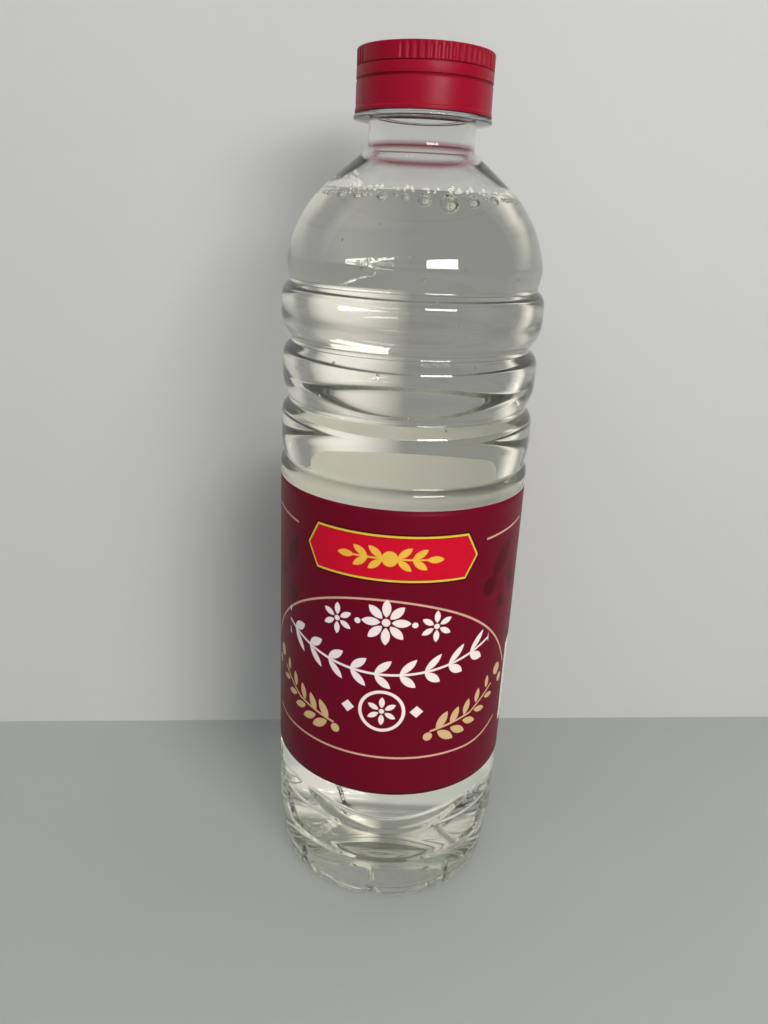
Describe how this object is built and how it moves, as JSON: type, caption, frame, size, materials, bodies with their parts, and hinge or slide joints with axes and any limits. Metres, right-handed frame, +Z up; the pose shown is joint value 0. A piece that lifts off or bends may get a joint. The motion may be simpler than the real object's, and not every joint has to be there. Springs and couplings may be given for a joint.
{
  "type": "vinegar bottle",
  "caption": "Clear moulded bottle with a waisted upper body, a wrap-round label, a red screw closure and a vinegar filling.",
  "frame": {"origin": "centre of the foot, on the surface that the bottle stands on", "axes": "+Z up along the bottle's axis, -Y towards the front of the label, +X to the right as the front is faced"},
  "size_m": [0.0623, 0.0622, 0.2085],
  "materials": {
    "clear_wall": "clear moulded plastic, glossy",
    "vinegar": "clear pale liquid",
    "label_film": "printed film, satin",
    "closure": "moulded, satin"
  },
  "bodies": {
    "root": {"bottle": "clear_wall", "vinegar": "vinegar", "label": "label_film", "closure_band": "closure", "closure_lid": "closure"}
  },
  "joints": []
}
